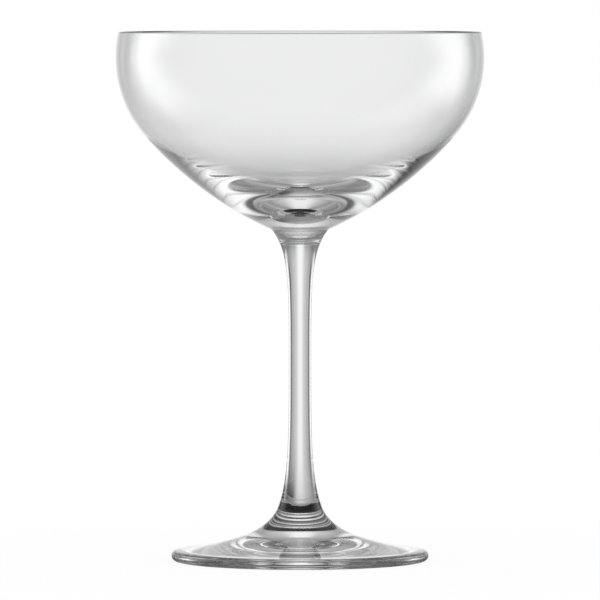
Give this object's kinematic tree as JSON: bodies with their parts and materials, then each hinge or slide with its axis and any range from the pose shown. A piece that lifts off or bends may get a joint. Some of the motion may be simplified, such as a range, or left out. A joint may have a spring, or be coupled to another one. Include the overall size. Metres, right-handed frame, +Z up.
{
  "type": "coupe glass",
  "caption": "Clear stemmed coupe glass: a wide shallow bowl that draws in slightly at its thin rim, a slim solid stem flared at both ends, and a round foot to stand on.",
  "frame": {"origin": "centre of the foot's underside, on the plane that the glass stands on", "axes": "+Z up along the glass's axis, from the foot to the rim; X and Y are alike, because the glass is round"},
  "size_m": [0.1016, 0.1016, 0.146],
  "materials": {
    "clear_glass": "clear and fire-polished, with the faint waviness of blown, drawn and pressed glass"
  },
  "bodies": {
    "root": {"bowl": "clear_glass", "stem": "clear_glass", "foot": "clear_glass"}
  },
  "joints": []
}
